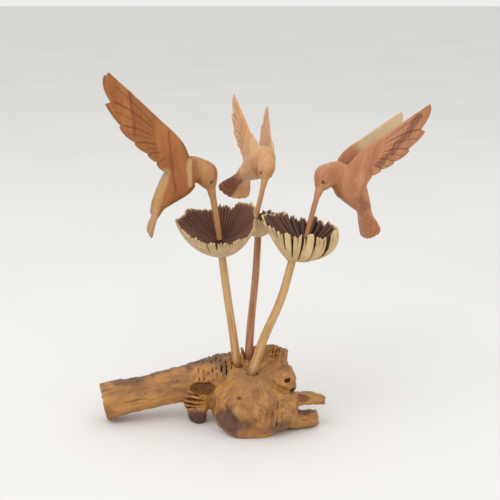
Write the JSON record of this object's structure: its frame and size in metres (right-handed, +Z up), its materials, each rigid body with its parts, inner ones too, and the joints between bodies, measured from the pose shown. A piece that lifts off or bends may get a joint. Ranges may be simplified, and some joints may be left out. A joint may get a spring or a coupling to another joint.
{
  "type": "hummingbird carving",
  "caption": "Carved wooden hummingbirds with raised wings, feeding at dried woody flowers on thin stems that stand in a gnarled root base.",
  "frame": {"origin": "on the flat underside of the root, under its hub", "axes": "+Z up, +X to the right of the front view, towards the forked branch, +Y towards the back"},
  "size_m": [0.2996, 0.2215, 0.3165],
  "materials": {
    "root_wood": "satin varnish over weathered root",
    "stem_wood": "satin",
    "stem_wood_reddish": "satin",
    "dried_flower": "matt, sanded outside",
    "bird_wood_brown": "satin",
    "bird_wood_pale": "satin",
    "bird_wood_reddish": "satin"
  },
  "bodies": {
    "root": {"root_base": "root_wood", "stem_left": "stem_wood", "stem_middle": "stem_wood_reddish", "stem_right": "stem_wood", "flower_left": "dried_flower", "flower_middle": "dried_flower", "flower_right": "dried_flower", "bird_left": "bird_wood_brown", "bird_middle": "bird_wood_pale", "bird_right": "bird_wood_reddish"}
  },
  "joints": []
}
